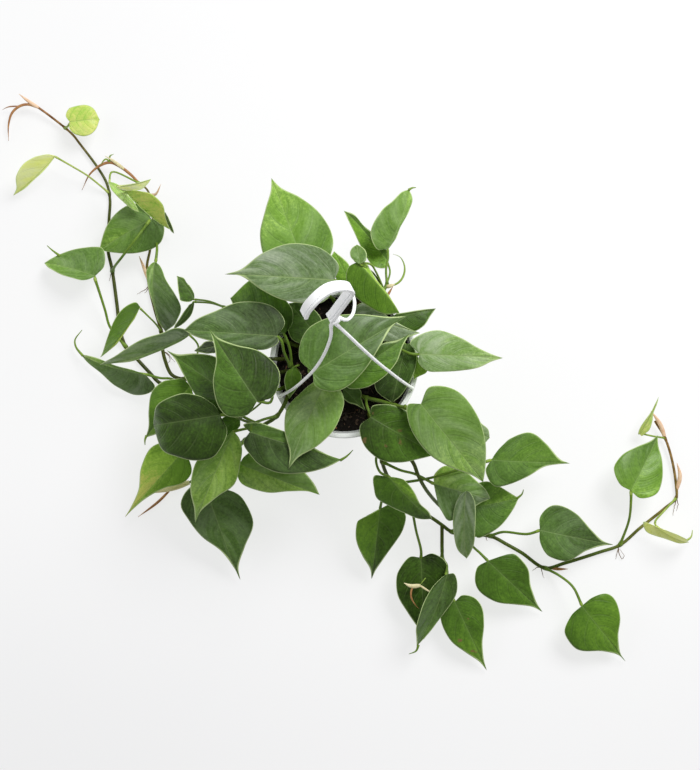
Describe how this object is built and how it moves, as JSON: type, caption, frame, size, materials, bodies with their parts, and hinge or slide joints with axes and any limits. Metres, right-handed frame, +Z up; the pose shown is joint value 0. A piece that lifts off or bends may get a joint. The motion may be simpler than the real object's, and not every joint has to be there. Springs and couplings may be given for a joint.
{
  "type": "potted heartleaf philodendron",
  "caption": "Heartleaf philodendron in a white plastic hanging pot with its slack hanger, standing, with long leafy stems trailing out along the surface.",
  "frame": {"origin": "centre of the pot's base, on the surface that it stands on", "axes": "+Z up through the pot, +X to the right and +Y away from the reader of the picture, which looks straight down; the foliage is longest along X"},
  "size_m": [0.7476, 0.6244, 0.4062],
  "materials": {
    "pot_plastic": "satin",
    "soil": "matte",
    "hanger_plastic": "satin",
    "foliage": "satin"
  },
  "bodies": {
    "root": {"pot": "pot_plastic", "soil": "soil", "hook": "hanger_plastic", "strand_left": "hanger_plastic", "strand_right": "hanger_plastic", "strand_rear": "hanger_plastic", "left_long_vine": "foliage", "left_short_vine": "foliage", "upper_left_vine": "foliage", "left_crown": "foliage", "left_edge_crown": "foliage", "front_left_vine": "foliage", "rear_crown": "foliage", "middle_crown": "foliage", "front_crown": "foliage", "right_crown": "foliage", "upper_right_vine": "foliage", "right_edge_crown": "foliage", "front_right_vine": "foliage", "right_long_vine": "foliage"}
  },
  "joints": []
}
